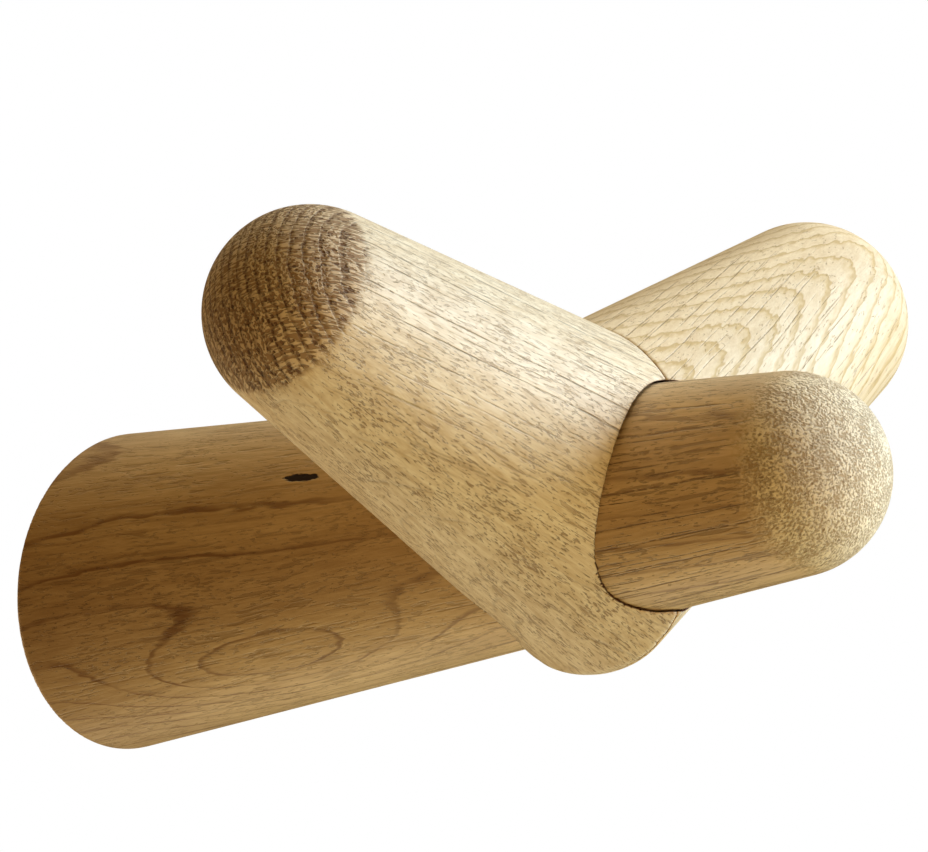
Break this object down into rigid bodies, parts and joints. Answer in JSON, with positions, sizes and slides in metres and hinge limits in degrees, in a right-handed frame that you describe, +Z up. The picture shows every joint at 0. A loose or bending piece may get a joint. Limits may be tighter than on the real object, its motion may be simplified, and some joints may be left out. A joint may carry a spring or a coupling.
{
  "type": "coat hook",
  "caption": "Solid wood wall hook: a tapered, upward-leaning stem with a domed end, through a V of two mitred domed arms, on a concealed hanger bolt and wall plug.",
  "frame": {"origin": "centre of the stem's back face, on the axis of its bolt, where the hook meets the wall", "axes": "+Y out of the back face into the wall, +Z up, +X to the right when facing the wall; the hook stands out along -Y"},
  "size_m": [0.0898, 0.1388, 0.055],
  "materials": {
    "stem_wood": "oiled, satin",
    "left_arm_wood": "oiled, satin",
    "right_arm_wood": "oiled, satin",
    "dowel_wood": "bare, sanded",
    "insert_metal": "machined",
    "bolt_steel": "zinc plated",
    "plug_plastic": "moulded nylon, matte"
  },
  "bodies": {
    "root": {"stem": "stem_wood", "left_arm": "left_arm_wood", "right_arm": "right_arm_wood", "mitre_dowels": "dowel_wood", "threaded_insert": "insert_metal", "hanger_bolt": "bolt_steel", "wall_plug": "plug_plastic"}
  },
  "joints": []
}
